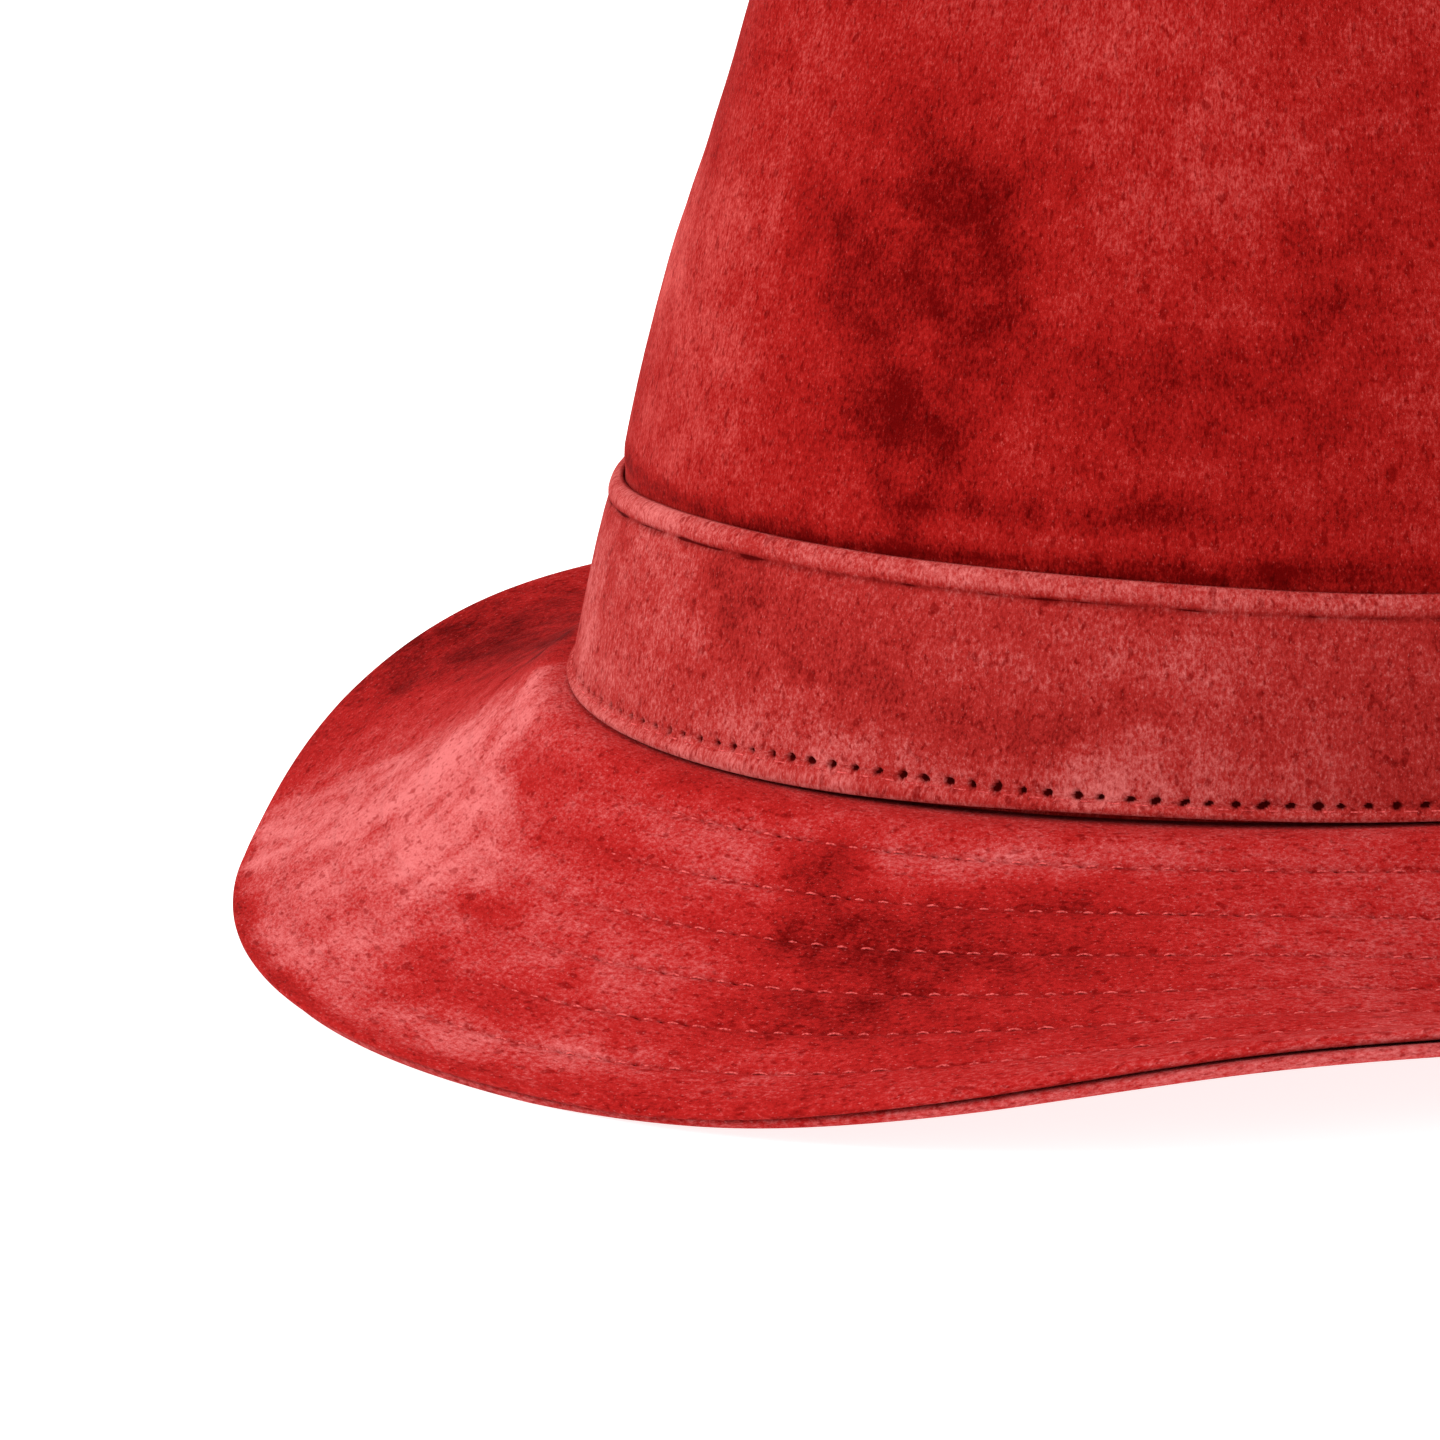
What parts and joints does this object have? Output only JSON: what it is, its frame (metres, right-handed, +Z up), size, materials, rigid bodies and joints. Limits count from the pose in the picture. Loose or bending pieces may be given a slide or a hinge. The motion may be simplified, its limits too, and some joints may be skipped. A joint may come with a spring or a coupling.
{
  "type": "trilby",
  "caption": "Soft suede trilby with a pinched and dented crown, a plain band with a folded edge and a row-stitched brim, down at the front and turned up at the back.",
  "frame": {"origin": "centre of the bounding box's bottom, on the surface that the hat rests on", "axes": "+Z up through the crown, -Y to the front of the hat, +X to the wearer's left"},
  "size_m": [0.2626, 0.2896, 0.1383],
  "materials": {
    "crown_suede": "napped red suede, mottled where the nap is brushed",
    "band_suede": "napped red suede",
    "brim_suede": "napped red suede, quilted by rows of stitches",
    "thread": "red sewing thread"
  },
  "bodies": {
    "root": {"crown": "crown_suede", "band": "band_suede", "brim_upper": "brim_suede", "brim_under": "brim_suede"}
  },
  "joints": []
}
